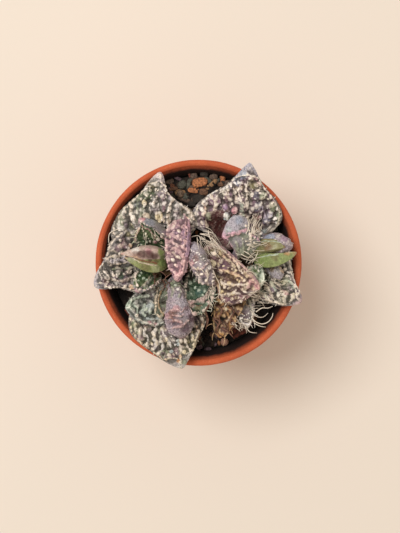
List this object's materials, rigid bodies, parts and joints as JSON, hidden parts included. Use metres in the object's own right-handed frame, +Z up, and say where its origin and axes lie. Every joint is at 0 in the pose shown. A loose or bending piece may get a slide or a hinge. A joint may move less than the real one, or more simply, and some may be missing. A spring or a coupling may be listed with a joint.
{
  "type": "potted succulent",
  "caption": "Low, very warty succulent with toothed leaves in two crowns, planted in gritty soil in a plain tapered clay pot.",
  "frame": {"origin": "centre of the pot's foot, on the ground", "axes": "+Z up along the pot's axis, +Y toward the heap of bark at the back of the soil, +X toward the right crown"},
  "size_m": [0.085, 0.0851, 0.0961],
  "materials": {
    "clay": "matt fired clay",
    "soil": "dark gritty potting mix with bark",
    "stem": "dry, corky",
    "stone": "matt",
    "shard": "matt fired clay",
    "leaf": "fleshy, warty, satin",
    "keel": "fleshy, smooth, speckled, satin",
    "young": "fleshy, smooth, glossy",
    "dried": "dry, wrinkled, matt"
  },
  "bodies": {
    "root": {"pot": "clay", "soil": "soil", "stem_left": "stem", "stem_right": "stem", "stone_round": "stone", "stone_tan_left": "stone", "stone_tan_right": "stone", "shard": "shard", "bud_left_north": "young", "bud_left_south": "young", "bud_right_north": "young", "bud_right_south": "young", "leaf_left_northwest": "leaf", "leaf_left_small_southwest": "leaf", "leaf_left_across": "leaf", "leaf_left_keel_south": "keel", "leaf_left_cupped": "leaf", "leaf_left_hollow_south": "leaf", "leaf_left_keel_middle": "keel", "leaf_right_across": "leaf", "leaf_right_northwest": "leaf", "leaf_right_east": "keel", "leaf_right_mint": "leaf", "leaf_right_ridge": "keel", "leaf_right_west": "leaf", "leaf_left_southwest": "leaf", "leaf_right_small_south": "leaf", "leaf_right_dried": "dried", "leaf_left_north": "leaf", "leaf_left_west": "leaf", "leaf_left_south": "leaf", "leaf_right_north": "leaf", "leaf_right_southeast": "leaf"}
  },
  "joints": []
}
